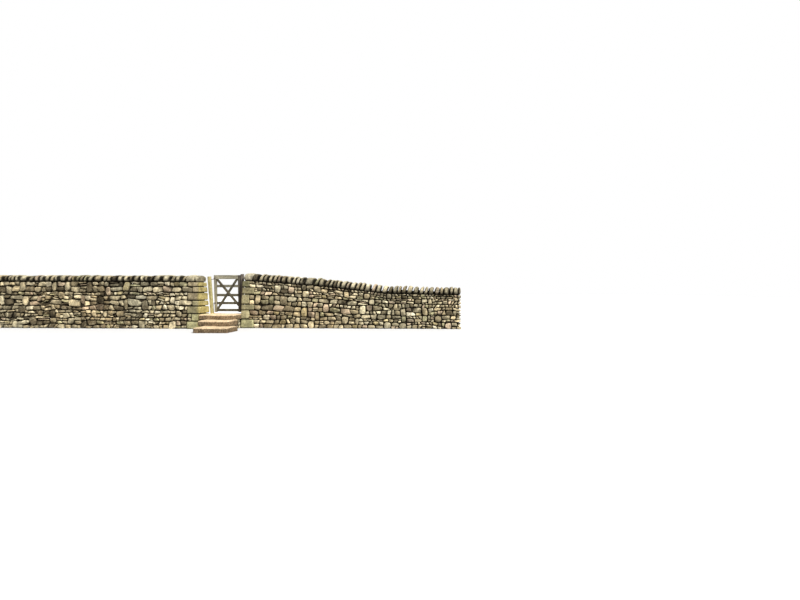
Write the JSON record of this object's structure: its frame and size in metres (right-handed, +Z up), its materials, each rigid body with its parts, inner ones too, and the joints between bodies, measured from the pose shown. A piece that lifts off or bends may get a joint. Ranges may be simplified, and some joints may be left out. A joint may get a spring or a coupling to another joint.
{
  "type": "dry stone wall with hand gate and steps",
  "caption": "Dry stone field wall with upright coping, a gateway with a hinged timber hand gate between posts, and stone steps up to it.",
  "frame": {"origin": "middle of the gateway on the level that the wall, posts and steps stand on", "axes": "+X along the wall to the right of someone facing the steps, +Y through the gateway away from the steps, +Z up"},
  "size_m": [15.59, 1.757, 1.838],
  "materials": {
    "wall_stone": "rough weathered gritstone with lichen, laid dry",
    "coping_stone": "rough weathered gritstone, upright slabs",
    "head_stone": "squared gritstone blocks, pitched faces",
    "step_stone": "worn pinkish gritstone slab",
    "gate_timber": "weathered silver-grey softwood",
    "left_post_timber": "weathered timber, green-yellow algae in the sun",
    "right_post_timber": "dark weathered timber",
    "gate_iron": "dull galvanised iron, lightly rusted"
  },
  "bodies": {
    "wall_and_steps": {"bottom_hook": "gate_iron", "left_coping_1": "coping_stone", "left_coping_2": "coping_stone", "left_coping_3": "coping_stone", "left_gatepost": "left_post_timber", "left_head_stone_1": "head_stone", "left_head_stone_2": "head_stone", "left_head_stone_3": "head_stone", "left_head_stone_4": "head_stone", "left_head_stone_5": "head_stone", "left_head_stone_6": "head_stone", "left_head_stone_7": "head_stone", "left_wall_bay_1": "wall_stone", "left_wall_bay_2": "wall_stone", "left_wall_bay_3": "wall_stone", "lower_step": "step_stone", "right_coping_1": "coping_stone", "right_coping_2": "coping_stone", "right_coping_3": "coping_stone", "right_gatepost": "right_post_timber", "right_head_stone_1": "head_stone", "right_head_stone_2": "head_stone", "right_head_stone_3": "head_stone", "right_head_stone_4": "head_stone", "right_head_stone_5": "head_stone", "right_head_stone_6": "head_stone", "right_wall_bay_1": "wall_stone", "right_wall_bay_2": "wall_stone", "right_wall_bay_3": "wall_stone", "step_packing": "wall_stone", "threshold_stone": "step_stone", "top_hook": "gate_iron", "upper_step": "step_stone"},
    "gate_leaf": {"bottom_band": "gate_iron", "bottom_rail": "gate_timber", "falling_brace": "gate_timber", "fourth_rail": "gate_timber", "heel_stile": "gate_timber", "latch_stile": "gate_timber", "rising_brace": "gate_timber", "second_rail": "gate_timber", "third_rail": "gate_timber", "top_band": "gate_iron", "top_rail": "gate_timber"}
  },
  "joints": [
    {"name": "gate_swing", "type": "hinge", "parent": "wall_and_steps", "child": "gate_leaf", "pos_m": [-0.445, 0.02, 0], "axis": [0, 0, 1], "range_deg": [0, 90]}
  ]
}
